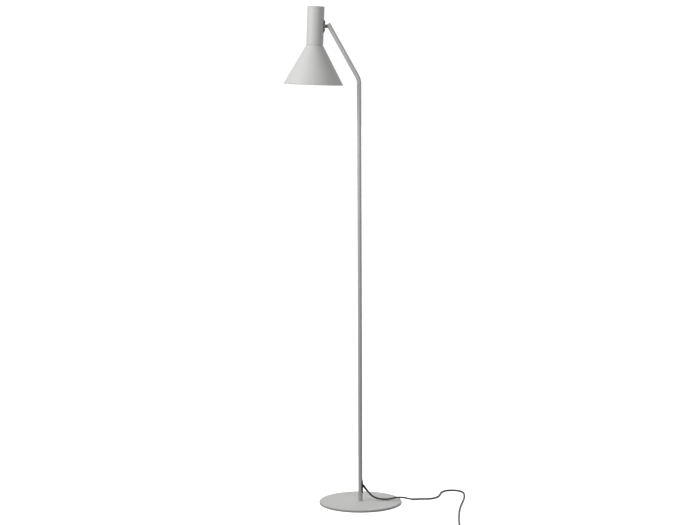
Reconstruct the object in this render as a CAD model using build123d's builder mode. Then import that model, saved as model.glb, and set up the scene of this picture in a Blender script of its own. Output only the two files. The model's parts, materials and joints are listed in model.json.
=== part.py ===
"""Slim floor lamp: round disc foot, thin bent pole and a small conical head on a swivel and tilt joint.

Millimetres, +Z up. The origin is the centre of the foot's underside, on the pole's axis.
The arm and head lean towards -X, and the cord leaves the pole towards +X.
"""

import os
from math import cos, pi, radians, sin, tan

from build123d import *

# ---------------------------------------------------------------- driving dimensions
total_height = 1500.0

foot_dia = 250.0
pad_dia = 242.0
pad_thick = 1.5
foot_thick = 6.0
foot_top = pad_thick + foot_thick
foot_edge_radius = 2.2
foot_under_radius = 0.6
foot_bolt_dia = 8.0
foot_recess_dia = 22.0
foot_recess_depth = 3.6
foot_web = foot_thick - foot_recess_depth
washer_thick = 1.0
bolt_head_radius = 8.0
bolt_head_thick = 2.4
bolt_socket_radius = 2.5
bolt_point = 0.8
bolt_end_height = 30.0

fit_gap = 0.02
running_gap = 0.05
join_overlap = 0.8

pole_dia = 13.0
pole_wall = 1.2
pole_bore = pole_dia - 2 * pole_wall
plug_gap = 0.04
foot_plug_top = 34.0
window_height = 17.0
window_width = 8.0
window_rise = 1.0
bend_height = 1283.0
bend_radius = 44.0
arm_lean = 29.0
arm_length = 187.2
end_plug_length = 24.0
end_plug_solid = 11.5
end_disc_thick = 1.0
end_disc_edge = 0.8
cable_way_radius = 3.2
grub_dia = 3.0
grub_reach = 2.95
grub_recess = 1.2
grub_socket_radius = 0.75
grub_socket_depth = 1.6

cord_dia = 5.6
cord_exit_height = 54.5
grommet_height = 42.0
grommet_centre = 51.0
grommet_proud = 1.8
grommet_half_angle = 70.0
exit_slope = 52.0
relief_length = 22.0
relief_root_dia = 8.6
relief_tip_dia = 6.4
stub_length = 4.4

head_tilt = 2.3
head_top_x = -126.5
head_top_z = total_height - 1.0
housing_dia = 50.4
housing_wall = 1.0
housing_length = 113.4
cone_length = 117.0
rim_dia = 177.0
cone_wall = 1.0
cap_thick = 1.5

pivot_x = -101.3
pivot_z = 1440.6
stem_dia = 10.5
stem_flat = 9.6
flat_length = 11.0
flat_shift = 1.5
shank_dia = 5.0
shank_end_x = -83.2
shank_end_gap = 0.3
groove_start_x = -91.4
groove_width = 4.6
groove_depth = 0.8
spacer_face_x = -97.2
spacer_reach = 9.0
pivot_screw_dia = 3.0
pivot_head_radius = 2.75
pivot_head_thick = 1.6
pivot_socket_radius = 1.0
pivot_nut_thick = 2.0
washer_outer = 3.6
slot_half_height = 8.4
slot_half_width = 5.6
bracket_half_height = 19.5
bracket_half_width = 8.6
bracket_side_flare = 1.12
wedge_peak = 10.0
wedge_flat = 1.5
wedge_slope = 1.4
wedge_proud = 4.2
saddle_proud = 2.8
tip_proud = 0.5
boss_radius = 3.8
bracket_screw_spread = 13.0
bracket_screw_radius = 1.25
bracket_screw_hole = 1.5
bracket_screw_head_radius = 2.7
bracket_screw_socket_radius = 0.9
bracket_screw_head_thick = 1.6
bracket_hole_depth = 2.4

holder_dia = 39.0
nipple_radius = 5.0
nipple_bore_radius = 3.6
nipple_nut_thick = 4.0
nipple_nut_radius = 7.0
nipple_rise = 7.0
nipple_depth = 6.0
leg_out = 21.2
leg_thick = 1.2
leg_half_width = 9.0
leg_window_width = 11.0
leg_window_height = 12.0
shell_radius = 13.3
bulb_dia = 60.0
globe_shoulder = 36.0

# ---------------------------------------------------------------- frames
arm_dir = Vector(-sin(radians(arm_lean)), 0, cos(radians(arm_lean)))
bend_point = Vector(0, 0, bend_height)
arm_end = bend_point + arm_dir * arm_length

head_up = Vector(sin(radians(head_tilt)), 0, cos(radians(head_tilt)))
head_out = Vector(cos(radians(head_tilt)), 0, -sin(radians(head_tilt)))
head_origin = Vector(head_top_x, 0, head_top_z)
head_axis = Axis(head_origin, head_up)
pivot = Vector(pivot_x, 0, pivot_z)
pivot_out = (pivot - head_origin).dot(head_out)
pivot_up = (pivot - head_origin).dot(head_up)

exit_dir = Vector(cos(radians(exit_slope)), 0, -sin(radians(exit_slope)))
exit_root = Vector(pole_dia / 2 + grommet_proud - 0.1, 0, cord_exit_height)
relief_tip = exit_root + exit_dir * relief_length
stub_end = exit_root - exit_dir * stub_length


def head_point(out, up, side=0.0):
    """A point of the head's own frame: out towards the arm, up along its axis, side along +Y."""
    return head_origin + head_out * out + head_up * up + Vector(0, side, 0)


def head_level(up):
    """The plane across the head's axis at a height measured from its top."""
    return Plane(origin=head_point(0, up), x_dir=head_out, z_dir=head_up)


def head_section(side=0.0):
    """The upright plane through the head's axis, where a sketch's x is out and its y is up."""
    return Plane(origin=head_point(0, 0, side), x_dir=head_out, z_dir=(0, -1, 0))


def save(part, name):
    """Label a finished piece and write it as the STEP file of the same name."""
    part.label = name
    export_step(part, f"parts/{name}.step")


def corner_radii(points):
    """The arc at each inner point of a route: 0.45 of the shorter run over the tangent of half the turn."""
    radii = []
    for before, here, after in zip(points, points[1:], points[2:]):
        run_in = Vector(*here) - Vector(*before)
        run_out = Vector(*after) - Vector(*here)
        turn = run_in.get_angle(run_out)
        radii.append(0.45 * min(run_in.length, run_out.length) / tan(radians(turn) / 2))
    return radii


def arm_level(drop):
    """The plane across the arm at a distance down from its cut end."""
    return Plane(origin=arm_end - arm_dir * drop, x_dir=(0, 1, 0), z_dir=arm_dir)


def bracket_screw_plane(side, out=0.0):
    """The plane across one bracket screw: side is -1 for the lower one and 1 for the upper one."""
    place = head_point(out, pivot_up + side * bracket_screw_spread)
    return Plane(origin=place, x_dir=(0, 1, 0), z_dir=head_out)


def cable(points, diameter, name, radii=None):
    """A round cable along straight runs joined by tangent arcs."""
    radii = radii or corner_radii(points)
    with BuildPart() as tube:
        with BuildLine():
            route = FilletPolyline(*points, radius=radii)
        with BuildSketch(Plane(route @ 0, z_dir=route % 0)):
            Circle(diameter / 2)
        sweep()
    section = pi * diameter**2 / 4
    fullness = tube.part.volume / (section * route.length)
    print(name, "length", round(route.length, 1), "volume over section times length", round(fullness, 4))
    print(name, "radii", [round(radius, 1) for radius in radii])
    save(tube.part, name)


os.makedirs("parts", exist_ok=True)

# ---------------------------------------------------------------- foot
with BuildPart() as foot_pad:
    with BuildSketch():
        Circle(pad_dia / 2)
        Circle(foot_recess_dia / 2, mode=Mode.SUBTRACT)
    extrude(amount=pad_thick)
save(foot_pad.part, "foot_pad")

with BuildPart() as foot_plate:
    with BuildSketch(Plane.XY.offset(pad_thick)):
        Circle(foot_dia / 2)
    extrude(amount=foot_thick)
    rims = foot_plate.edges().filter_by(GeomType.CIRCLE).sort_by(Axis.Z)
    fillet(rims[-1], radius=foot_edge_radius)
    fillet(rims[0], radius=foot_under_radius)
    with BuildSketch(Plane.XY.offset(pad_thick)):
        Circle(foot_recess_dia / 2)
    extrude(amount=foot_recess_depth, mode=Mode.SUBTRACT)
    with BuildSketch(Plane.XY.offset(pad_thick)):
        Circle(foot_bolt_dia / 2 + 15 * fit_gap)
    extrude(amount=foot_thick, mode=Mode.SUBTRACT)
save(foot_plate.part, "foot_plate")

washer_top = foot_top - foot_web
with BuildPart() as foot_washer:
    with BuildSketch(Plane.XY.offset(washer_top - washer_thick)):
        Circle(foot_recess_dia / 2 - 10 * running_gap)
        Circle(foot_bolt_dia / 2 + 10 * fit_gap, mode=Mode.SUBTRACT)
    extrude(amount=washer_thick)
save(foot_washer.part, "foot_washer")

bolt_seat = washer_top - washer_thick
with BuildPart() as foot_bolt:
    with BuildSketch(Plane.XY.offset(bolt_seat - bolt_head_thick)):
        Circle(bolt_head_radius)
        RegularPolygon(bolt_socket_radius, 6, major_radius=False, mode=Mode.SUBTRACT)
    extrude(amount=bolt_head_thick)
    with BuildSketch(Plane.XY.offset(bolt_seat - join_overlap)):
        Circle(foot_bolt_dia / 2)
    extrude(amount=bolt_end_height - bolt_seat + join_overlap)
    chamfer(foot_bolt.faces().sort_by(Axis.Z)[-1].edges(), length=bolt_point)
save(foot_bolt.part, "foot_bolt")

with BuildPart() as pole_foot_plug:
    with BuildSketch(Plane.XY.offset(foot_top)):
        Circle(pole_bore / 2 - plug_gap)
        Circle(foot_bolt_dia / 2 + fit_gap, mode=Mode.SUBTRACT)
    extrude(amount=foot_plug_top - foot_top)
save(pole_foot_plug.part, "pole_foot_plug")

# ---------------------------------------------------------------- pole
stem_axis_plane = Plane(origin=(pivot_x, 0, pivot_z), x_dir=(0, 1, 0), z_dir=(1, 0, 0))
pole_path_points = [(0, 0, foot_top), (0, 0, bend_height), tuple(arm_end)]

with BuildPart() as pole:
    with BuildLine() as pole_path:
        FilletPolyline(*pole_path_points, radius=bend_radius)
    with BuildSketch(Plane.XY.offset(foot_top)):
        Circle(pole_dia / 2)
        Circle(pole_bore / 2, mode=Mode.SUBTRACT)
    sweep()
    # window for the cord's bushing
    with BuildSketch(Plane.YZ.offset(pole_bore / 4)):
        with Locations((0, cord_exit_height + window_rise)):
            SlotOverall(window_height, window_width, rotation=90)
    extrude(amount=pole_dia / 2, mode=Mode.SUBTRACT)
    # cross hole for the swivel's shank, through the wall on the head's side only
    with BuildSketch(stem_axis_plane):
        Circle(shank_dia / 2 + running_gap)
    extrude(amount=pole_dia + 1.0, mode=Mode.SUBTRACT)
save(pole.part, "pole")

shank_cross = (pivot_z - bend_height) / cos(radians(arm_lean))
grub_depth = arm_length - shank_cross - grub_reach
with BuildPart() as arm_end_plug:
    with BuildSketch(arm_level(end_plug_length)):
        Circle(pole_bore / 2 - plug_gap)
    extrude(amount=end_plug_length)
    with BuildSketch(arm_level(0.0)):
        Circle(pole_dia / 2)
    extrude(amount=end_disc_thick)
    end_rims = arm_end_plug.edges().filter_by(GeomType.CIRCLE).sort_by(Axis(arm_end, arm_dir))
    fillet(end_rims[-1], radius=end_disc_edge)
    with BuildSketch(stem_axis_plane):
        Circle(shank_dia / 2 + running_gap)
    extrude(amount=shank_end_x + shank_end_gap - pivot_x, mode=Mode.SUBTRACT)
    with BuildSketch(arm_level(grub_depth + shank_dia / 2)):
        Circle(grub_dia / 2 + fit_gap)
    extrude(amount=grub_depth + shank_dia, mode=Mode.SUBTRACT)
    # cable way up the middle of the plug's lower half
    with BuildSketch(arm_level(end_plug_length)):
        Circle(cable_way_radius)
    extrude(amount=end_plug_length - end_plug_solid, mode=Mode.SUBTRACT)
save(arm_end_plug.part, "arm_end_plug")

grub_length = grub_depth - grub_recess
with BuildPart() as stem_grub_screw:
    with BuildSketch(arm_level(grub_depth)):
        Circle(grub_dia / 2)
    extrude(amount=grub_length)
    with BuildSketch(arm_level(grub_recess)):
        RegularPolygon(grub_socket_radius, 6, major_radius=False)
    extrude(amount=-grub_socket_depth, mode=Mode.SUBTRACT)
save(stem_grub_screw.part, "stem_grub_screw")

with BuildPart() as spacer_blank:
    with BuildSketch(Plane(origin=(spacer_face_x, 0, pivot_z), x_dir=(0, 1, 0), z_dir=(1, 0, 0))):
        Circle(stem_dia / 2)
        Circle(shank_dia / 2 + running_gap, mode=Mode.SUBTRACT)
    extrude(amount=spacer_reach)
    # the arm cuts it to a wedge
    with BuildSketch(arm_level(2 * pole_dia)):
        Circle(pole_dia / 2 + fit_gap)
    extrude(amount=4 * pole_dia, mode=Mode.SUBTRACT)
with BuildPart() as arm_spacer:
    add(spacer_blank.part.solids().sort_by(Axis.X)[0])
save(arm_spacer.part, "arm_spacer")

# ---------------------------------------------------------------- cord outlet and inner cable
with BuildPart() as cord_grommet:
    with BuildSketch(Plane.XY.offset(grommet_centre - grommet_height / 2)):
        Circle(pole_dia / 2 + grommet_proud)
        Circle(pole_dia / 2 + fit_gap, mode=Mode.SUBTRACT)
    extrude(amount=grommet_height)
    # oval outline, seen from +X
    with BuildSketch(Plane.YZ):
        with Locations((0, grommet_centre)):
            SlotOverall(grommet_height, pole_dia * sin(radians(grommet_half_angle)), rotation=90)
    extrude(amount=pole_dia, mode=Mode.INTERSECT)
    # bushing that fills the window
    with BuildSketch(Plane.YZ.offset(pole_bore / 2)):
        with Locations((0, cord_exit_height + window_rise)):
            SlotOverall(window_height - 10 * fit_gap, window_width - 10 * fit_gap, rotation=90)
    extrude(amount=pole_wall + 0.5)
    with BuildSketch(Plane(origin=exit_root + exit_dir * stub_length, z_dir=-exit_dir)):
        Circle(cord_dia / 2 + running_gap)
    extrude(amount=4 * stub_length, mode=Mode.SUBTRACT)
save(cord_grommet.part, "cord_grommet")

with BuildPart() as strain_relief:
    with BuildSketch(Plane(origin=exit_root - exit_dir, z_dir=exit_dir)):
        Circle(relief_root_dia / 2)
    with BuildSketch(Plane(origin=relief_tip, z_dir=exit_dir)):
        Circle(relief_tip_dia / 2)
    loft()
    with BuildSketch(Plane.XY.offset(cord_exit_height - relief_length)):
        Circle(pole_dia / 2 + grommet_proud + fit_gap / 2)
    extrude(amount=2 * relief_length, mode=Mode.SUBTRACT)
    with BuildSketch(Plane(origin=stub_end, z_dir=exit_dir)):
        Circle(cord_dia / 2)
    extrude(amount=stub_length + cord_dia)
save(strain_relief.part, "strain_relief")

axis_cross = stub_end + exit_dir * (-stub_end.X / exit_dir.X)
cable_top = arm_end - arm_dir * (end_plug_length + 1.0)
inner_cable_dia = cord_dia - 0.2
inner_points = [tuple(stub_end), tuple(axis_cross), (0, 0, bend_height), tuple(cable_top)]
cable(inner_points, inner_cable_dia, "pole_cable", radii=[corner_radii(inner_points)[0], bend_radius])

# ---------------------------------------------------------------- swivel stem
with BuildPart() as swivel_stem:
    with BuildSketch(stem_axis_plane):
        Circle(stem_dia / 2)
    extrude(amount=spacer_face_x - running_gap - pivot_x)
    # rounded end about the tilt axis
    with BuildSketch(Plane(origin=(pivot_x, stem_dia / 2, pivot_z), x_dir=(1, 0, 0), z_dir=(0, -1, 0))):
        Circle(stem_dia / 2)
        with Locations((stem_dia, 0)):
            Rectangle(2 * stem_dia, 2 * stem_dia, mode=Mode.SUBTRACT)
    extrude(amount=stem_dia)
    with BuildSketch(stem_axis_plane.offset(-stem_dia)):
        Circle(stem_dia / 2)
    extrude(amount=2 * stem_dia, mode=Mode.INTERSECT)
    # flats that take the friction washers
    with BuildSketch(Plane.XZ.offset(-stem_dia)):
        with Locations((pivot_x - flat_shift, pivot_z)):
            Rectangle(flat_length, stem_dia + 1.0)
    extrude(amount=stem_dia - stem_flat / 2, mode=Mode.SUBTRACT)
    with BuildSketch(Plane.XZ.offset(stem_dia)):
        with Locations((pivot_x - flat_shift, pivot_z)):
            Rectangle(flat_length, stem_dia + 1.0)
    extrude(amount=-(stem_dia - stem_flat / 2), mode=Mode.SUBTRACT)
    # shank with the groove that the grub screw runs in
    with BuildSketch(stem_axis_plane):
        Circle(shank_dia / 2)
    extrude(amount=shank_end_x - pivot_x)
    with BuildSketch(stem_axis_plane.offset(groove_start_x - pivot_x)):
        Circle(shank_dia / 2 + groove_depth)
        Circle(shank_dia / 2 - groove_depth, mode=Mode.SUBTRACT)
    extrude(amount=groove_width, mode=Mode.SUBTRACT)
    with BuildSketch(Plane.XZ.offset(-stem_dia)):
        with Locations((pivot_x, pivot_z)):
            Circle(pivot_screw_dia / 2 + running_gap)
    extrude(amount=2 * stem_dia, mode=Mode.SUBTRACT)
save(swivel_stem.part, "swivel_stem")

# ---------------------------------------------------------------- head bracket and tilt pivot
housing_radius = housing_dia / 2
seat_out = housing_radius - 4.0
with BuildPart() as head_bracket:
    # lens-shaped side outline, thick at two wedges and lower between them
    with BuildSketch(head_section(bracket_half_width)):
        with BuildLine():
            Polyline(
                (seat_out, pivot_up + bracket_half_height),
                (housing_radius + tip_proud, pivot_up + bracket_half_height),
                (housing_radius + wedge_proud, pivot_up + wedge_peak + wedge_flat),
                (housing_radius + wedge_proud, pivot_up + wedge_peak),
                (housing_radius + saddle_proud, pivot_up + wedge_peak - wedge_slope),
                (housing_radius + saddle_proud, pivot_up - wedge_peak + wedge_slope),
                (housing_radius + wedge_proud, pivot_up - wedge_peak),
                (housing_radius + wedge_proud, pivot_up - wedge_peak - wedge_flat),
                (housing_radius + tip_proud, pivot_up - bracket_half_height),
                (seat_out, pivot_up - bracket_half_height),
                close=True,
            )
        make_face()
        with Locations((pivot_out, pivot_up)):
            Circle(boss_radius)
    extrude(amount=2 * bracket_half_width)
    # oval outline seen from the arm
    bracket_front = Plane(origin=head_point(0, pivot_up), x_dir=(0, 1, 0), z_dir=head_out)
    with BuildSketch(bracket_front):
        Ellipse(bracket_half_width * bracket_side_flare, bracket_half_height + 1.0)
        Rectangle(2 * bracket_half_width, 3 * bracket_half_height, mode=Mode.INTERSECT)
    extrude(amount=housing_dia, mode=Mode.INTERSECT)
    # seat on the housing
    with BuildSketch(head_level(pivot_up - bracket_half_height - 1.0)):
        Circle(housing_radius)
    extrude(amount=2 * bracket_half_height + 2.0, mode=Mode.SUBTRACT)
    # slot for the stem
    with BuildSketch(bracket_front):
        Rectangle(2 * slot_half_width, 2 * slot_half_height)
    extrude(amount=housing_dia, mode=Mode.SUBTRACT)
    # pivot hole
    with BuildSketch(Plane.XZ.offset(-bracket_half_width - 1.0)):
        with Locations((pivot_x, pivot_z)):
            Circle(pivot_screw_dia / 2 + fit_gap)
    extrude(amount=2 * bracket_half_width + 2.0, mode=Mode.SUBTRACT)
    # blind holes for the bracket screws
    for side in (-1, 1):
        with BuildSketch(bracket_screw_plane(side)):
            Circle(bracket_screw_radius + fit_gap)
        extrude(amount=housing_radius + bracket_hole_depth, mode=Mode.SUBTRACT)
save(head_bracket.part, "head_bracket")

with BuildPart() as pivot_screw:
    with BuildSketch(Plane.XZ.offset(-bracket_half_width)):
        with Locations((pivot_x, pivot_z)):
            Circle(pivot_screw_dia / 2)
    extrude(amount=2 * bracket_half_width + pivot_nut_thick - 0.4)
    with BuildSketch(Plane.XZ.offset(-bracket_half_width - pivot_head_thick)):
        with Locations((pivot_x, pivot_z)):
            Circle(pivot_head_radius)
            RegularPolygon(pivot_socket_radius, 6, major_radius=False, mode=Mode.SUBTRACT)
    extrude(amount=pivot_head_thick)
save(pivot_screw.part, "pivot_screw")

with BuildPart() as pivot_nut:
    with BuildSketch(Plane.XZ.offset(bracket_half_width)):
        with Locations((pivot_x, pivot_z)):
            RegularPolygon(pivot_head_radius, 6, major_radius=False)
            Circle(pivot_screw_dia / 2 + fit_gap, mode=Mode.SUBTRACT)
    extrude(amount=pivot_nut_thick)
save(pivot_nut.part, "pivot_nut")

with BuildPart() as friction_washers:
    for side in (-1, 1):
        with BuildSketch(Plane.XZ.offset(side * (stem_flat / 2 + fit_gap))):
            with Locations((pivot_x, pivot_z)):
                Circle(washer_outer)
                Circle(pivot_screw_dia / 2 + running_gap, mode=Mode.SUBTRACT)
        extrude(amount=side * (slot_half_width - stem_flat / 2 - 2 * fit_gap))
save(friction_washers.part, "friction_washers")

# ---------------------------------------------------------------- housing, cap and shade
housing_inner = housing_radius - housing_wall
cap_edge = 1.0
cap_skirt = 8.0
cap_skirt_thick = 1.16
with BuildPart() as head_housing:
    with BuildSketch(head_level(-housing_length)):
        Circle(housing_radius)
        Circle(housing_inner, mode=Mode.SUBTRACT)
    extrude(amount=housing_length - cap_thick)
    # way in for the stem, and holes for the bracket's screws
    with BuildSketch(bracket_front):
        Rectangle(2 * slot_half_width, 2 * (slot_half_height - housing_wall))
    extrude(amount=housing_dia, mode=Mode.SUBTRACT)
    for side in (-1, 1):
        with BuildSketch(bracket_screw_plane(side)):
            Circle(bracket_screw_hole)
        extrude(amount=housing_dia, mode=Mode.SUBTRACT)
save(head_housing.part, "head_housing")

with BuildPart() as head_cap:
    with BuildSketch(head_level(-cap_thick)):
        Circle(housing_radius)
    extrude(amount=cap_thick)
    fillet(head_cap.edges().filter_by(GeomType.CIRCLE).sort_by(head_axis)[-1], radius=cap_edge)
    with BuildSketch(head_level(-cap_skirt)):
        Circle(housing_inner - plug_gap)
        Circle(housing_inner - plug_gap - cap_skirt_thick, mode=Mode.SUBTRACT)
    extrude(amount=cap_skirt - cap_thick)
save(head_cap.part, "head_cap")

neck_up = -housing_length
rim_up = -housing_length - cone_length
rim_radius = rim_dia / 2
rim_bead = 1.3
collar_up = neck_up + 12.0
collar_radius = housing_inner - plug_gap
flange_bore = holder_dia / 2 + 0.3
neck_lip = 1.0
with BuildPart() as shade_cone:
    with BuildSketch(head_section()):
        with BuildLine():
            Polyline(
                (flange_bore, collar_up),
                (collar_radius, collar_up),
                (collar_radius, neck_up),
                (housing_radius, neck_up),
                (housing_radius, neck_up - neck_lip),
                (rim_radius, rim_up),
                (rim_radius - cone_wall, rim_up),
                (housing_radius - 1.6 * cone_wall, neck_up - 1.2 * cone_wall),
                (collar_radius - cone_wall, neck_up - 0.6 * cone_wall),
                (collar_radius - cone_wall, collar_up - cone_wall),
                (flange_bore, collar_up - cone_wall),
                close=True,
            )
        make_face()
        with Locations((rim_radius - rim_bead, rim_up + rim_bead)):
            Circle(rim_bead)
    revolve(axis=head_axis)
save(shade_cone.part, "shade_cone")

# ---------------------------------------------------------------- lamp holder and its fixings
plate_up = pivot_up + bracket_half_height
leg_low = pivot_up - bracket_half_height + 2.0
plate_reach = 12.0
cable_hole_out = 15.5
cable_hole_radius = 3.0
with BuildPart() as holder_arm:
    with BuildSketch(head_section(leg_half_width)):
        with BuildLine():
            Polyline(
                (-plate_reach, plate_up),
                (leg_out + leg_thick, plate_up),
                (leg_out + leg_thick, leg_low),
                (leg_out, leg_low),
                (leg_out, plate_up - leg_thick),
                (-plate_reach, plate_up - leg_thick),
                close=True,
            )
        make_face()
    extrude(amount=2 * leg_half_width)
    with BuildSketch(bracket_front):
        Rectangle(leg_window_width, leg_window_height)
    extrude(amount=housing_radius, mode=Mode.SUBTRACT)
    for side in (-1, 1):
        with BuildSketch(bracket_screw_plane(side)):
            Circle(bracket_screw_hole)
        extrude(amount=housing_radius, mode=Mode.SUBTRACT)
    with BuildSketch(head_level(plate_up - 2 * leg_thick)):
        Circle(nipple_radius + 2 * running_gap)
        with Locations((cable_hole_out, 0)):
            Circle(cable_hole_radius)
    extrude(amount=4 * leg_thick, mode=Mode.SUBTRACT)
save(holder_arm.part, "holder_arm")

with BuildPart() as bracket_screws:
    for side in (-1, 1):
        with BuildSketch(bracket_screw_plane(side, leg_out - bracket_screw_head_thick)):
            Circle(bracket_screw_head_radius)
            RegularPolygon(bracket_screw_socket_radius, 6, major_radius=False, mode=Mode.SUBTRACT)
        extrude(amount=bracket_screw_head_thick)
        with BuildSketch(bracket_screw_plane(side, leg_out - join_overlap)):
            Circle(bracket_screw_radius)
        extrude(amount=housing_radius + bracket_hole_depth - 0.4 - leg_out + join_overlap)
save(bracket_screws.part, "bracket_screws")

holder_top = plate_up - leg_thick - nipple_nut_thick - 1.0
with BuildPart() as holder_nipple:
    with BuildSketch(head_level(holder_top - nipple_depth)):
        Circle(nipple_radius)
        Circle(nipple_bore_radius, mode=Mode.SUBTRACT)
    extrude(amount=plate_up + nipple_rise - holder_top + nipple_depth)
save(holder_nipple.part, "holder_nipple")

with BuildPart() as nipple_nuts:
    for low in (plate_up, plate_up - leg_thick - nipple_nut_thick):
        with BuildSketch(head_level(low)):
            RegularPolygon(nipple_nut_radius, 6, major_radius=False)
            Circle(nipple_radius + fit_gap, mode=Mode.SUBTRACT)
        extrude(amount=nipple_nut_thick)
save(nipple_nuts.part, "nipple_nuts")

holder_low = neck_up + 1.5
shell_top = holder_low + 25.0
holder_waist = 15.0
holder_skirt = 17.5
holder_flange = 22.5
holder_socket = 15.2
with BuildPart() as lamp_holder:
    with BuildSketch(head_section()):
        with BuildLine():
            Polyline(
                (nipple_radius + fit_gap, holder_top),
                (holder_waist - 4.0, holder_top),
                (holder_waist, holder_top - 8.0),
                (holder_waist, shell_top + 10.0),
                (holder_skirt, shell_top + 6.0),
                (holder_skirt, collar_up + 4.0),
                (holder_flange, collar_up + 3.0),
                (holder_flange, collar_up + fit_gap),
                (holder_dia / 2, collar_up + fit_gap),
                (holder_dia / 2, holder_low),
                (holder_socket, holder_low),
                (holder_socket, shell_top + 3.0),
                (nipple_radius + fit_gap, shell_top + 3.0),
                close=True,
            )
        make_face()
    revolve(axis=head_axis)
save(lamp_holder.part, "lamp_holder")

ring_depth = 8.0
with BuildPart() as shade_ring:
    with BuildSketch(head_level(collar_up - cone_wall - ring_depth)):
        Circle(holder_flange - 0.1)
        Circle(holder_dia / 2 + fit_gap, mode=Mode.SUBTRACT)
    extrude(amount=ring_depth - 2 * fit_gap)
save(shade_ring.part, "shade_ring")

shell_length = 22.0
with BuildPart() as holder_shell:
    with BuildSketch(head_level(holder_low + 1.0)):
        Circle(holder_socket - 2 * running_gap)
        Circle(shell_radius + 0.3, mode=Mode.SUBTRACT)
    extrude(amount=shell_length)
save(holder_shell.part, "holder_shell")

contact_up = shell_top - 2.0
contact_radius = 4.0
contact_post_radius = 1.6
with BuildPart() as holder_contact:
    with BuildSketch(head_level(contact_up)):
        Circle(contact_radius)
    extrude(amount=1.0)
    with BuildSketch(head_level(contact_up)):
        Circle(contact_post_radius)
    extrude(amount=10.0)
save(holder_contact.part, "holder_contact")

# ---------------------------------------------------------------- bulb
bulb_radius = bulb_dia / 2
bulb_cap_low = holder_low - 3.0
globe_up = bulb_cap_low - 50.0
cap_tip_thick = 2.5
cap_tip_radius = 4.5
cap_shoulder_up = contact_up - cap_tip_thick - 0.1
with BuildPart() as bulb_cap:
    with BuildSketch(head_level(bulb_cap_low)):
        Circle(shell_radius)
    extrude(amount=cap_shoulder_up - bulb_cap_low)
    with BuildSketch(head_level(cap_shoulder_up)):
        Circle(cap_tip_radius)
    extrude(amount=cap_tip_thick)
save(bulb_cap.part, "bulb_cap")

shoulder = (bulb_radius * cos(radians(globe_shoulder)), globe_up + bulb_radius * sin(radians(globe_shoulder)))
with BuildPart() as bulb_glass:
    with BuildSketch(head_section()):
        with BuildLine():
            Polyline(
                (0, globe_up - bulb_radius),
                (0, bulb_cap_low),
                (shell_radius + 0.3, bulb_cap_low),
                (shell_radius + 1.7, bulb_cap_low - 10.0),
                shoulder,
            )
            ThreePointArc(
                shoulder,
                (bulb_radius, globe_up),
                (0, globe_up - bulb_radius),
            )
        make_face()
    revolve(axis=head_axis)
save(bulb_glass.part, "bulb_glass")

# ---------------------------------------------------------------- cable inside the head
head_cable_points = [
    head_point(18.7, pivot_up),
    head_point(16.7, plate_up - 9.0),
    head_point(15.4, plate_up),
    head_point(15.2, plate_up + 10.0),
    head_point(10.5, plate_up + 18.0),
    head_point(3.0, plate_up + 18.5),
    head_point(0.0, plate_up + 10.0),
    head_point(0.1, holder_top - 3.0),
]
head_cable_dia = 4.0
cable([tuple(point) for point in head_cable_points], head_cable_dia, "head_cable")

# ---------------------------------------------------------------- mains cord on the floor
cord_radius = cord_dia / 2
floor_up = cord_radius + 0.05
cord_route = [
    tuple(relief_tip),
    (31.1, 0.0, 25.2),
    (44.0, 1.0, 16.4),
    (60.0, 2.0, 11.6),
    (76.0, 2.2, 10.4),
    (92.0, 0.8, 12.4),
    (108.0, -0.8, 17.0),
    (126.0, 0.4, 17.0),
    (140.0, 9.0, 12.4),
    (152.0, 22.0, 6.4),
    (166.0, 34.0, floor_up),
    (184.0, 38.0, floor_up),
    (202.0, 36.5, floor_up),
    (219.0, 41.0, floor_up),
    (232.0, 53.0, floor_up),
    (241.0, 71.0, floor_up),
    (246.0, 91.0, floor_up),
    (249.0, 111.0, floor_up),
    (255.0, 131.0, floor_up),
    (268.0, 147.0, floor_up),
    (288.0, 152.0, floor_up),
    (307.0, 145.0, floor_up),
    (319.0, 128.0, floor_up),
    (322.0, 106.0, floor_up),
    (321.0, 70.0, floor_up),
    (314.0, 14.0, floor_up),
    (303.0, -46.0, floor_up),
    (295.0, -108.0, floor_up),
    (290.0, -170.0, floor_up),
    (286.5, -232.0, floor_up),
    (284.5, -294.0, floor_up),
    (284.0, -350.0, floor_up),
    (283.0, -380.0, floor_up),
    (279.0, -399.0, floor_up),
    (267.0, -413.0, floor_up),
    (249.0, -419.0, floor_up),
    (236.0, -419.0, floor_up),
]
cable(cord_route, cord_dia, "power_cord")

# ---------------------------------------------------------------- foot switch on the cord
switch_near_x = 236.0
switch_y = -419.0
switch_length = 68.0
switch_width = 34.0
switch_height = 20.0
switch_split = 9.0
switch_wall = 2.0
switch_mid_x = switch_near_x - switch_length / 2
switch_corner = 14.0
switch_top_edge = 4.0
switch_low_edge = 0.8
switch_screw_spread = 22.0
switch_screw_radius = 1.0
switch_screw_head_radius = 2.4
switch_screw_head_thick = 0.85
switch_screw_length = 14.0
switch_post_radius = 2.8
screw_places = [
    (switch_mid_x - switch_screw_spread, switch_y),
    (switch_mid_x + switch_screw_spread, switch_y),
]
button_radius = 11.0
button_gap = 0.3
button_edge = 1.6
button_travel = 2.5
button_proud = 4.0
block_length = 24.0
block_width = 22.0
block_corner = 2.0


def switch_outline(inset):
    """The switch's rounded plan outline, drawn inset from its outer size."""
    length = switch_length - 2 * inset
    width = switch_width - 2 * inset
    with Locations((switch_mid_x, switch_y)):
        return RectangleRounded(length, width, radius=switch_corner - inset)


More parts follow.
